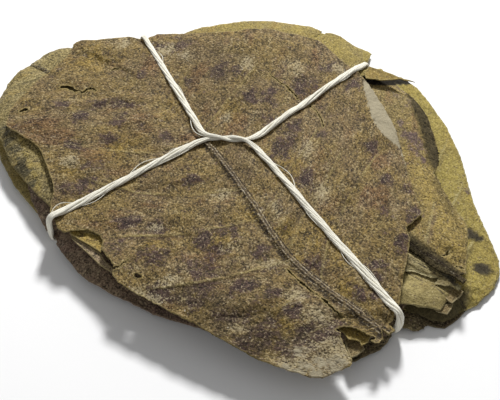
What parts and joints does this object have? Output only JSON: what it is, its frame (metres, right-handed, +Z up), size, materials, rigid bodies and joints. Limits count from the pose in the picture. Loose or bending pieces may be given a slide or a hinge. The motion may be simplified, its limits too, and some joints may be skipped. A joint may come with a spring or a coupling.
{
  "type": "tied stack of dried indian almond leaves",
  "caption": "Flat stack of large dried oval tree leaves with raised midribs and torn margins, tied crosswise with soft white cotton string whose runs twist together on top.",
  "frame": {"origin": "bottom centre of the box round the stack, on the surface that the bottom leaf lies on", "axes": "+X along the top leaf from its base to its tip, +Y to the left of its midrib, +Z up through the stack"},
  "size_m": [0.2304, 0.1864, 0.024],
  "materials": {
    "dark_leaf": "dry leaf blade, dull, dark red-brown to olive",
    "pale_leaf": "dry leaf blade, dull, pale yellow-olive with fine veins",
    "yellow_leaf": "dry leaf blade, dull, yellow-olive",
    "olive_leaf": "dry leaf blade, dull, khaki olive with dark specks",
    "mottled_leaf": "dry leaf blade, dull, khaki brown with purple-brown blotches and pale scurf",
    "cotton_string": "soft off-white cotton string of a few loosely laid strands"
  },
  "bodies": {
    "root": {"leaf_01": "dark_leaf", "leaf_02": "pale_leaf", "leaf_03": "yellow_leaf", "leaf_04": "dark_leaf", "leaf_05": "olive_leaf", "leaf_06": "pale_leaf", "leaf_07": "mottled_leaf", "leaf_08": "yellow_leaf", "leaf_09": "olive_leaf", "leaf_10": "mottled_leaf", "tie_string": "cotton_string"}
  },
  "joints": []
}
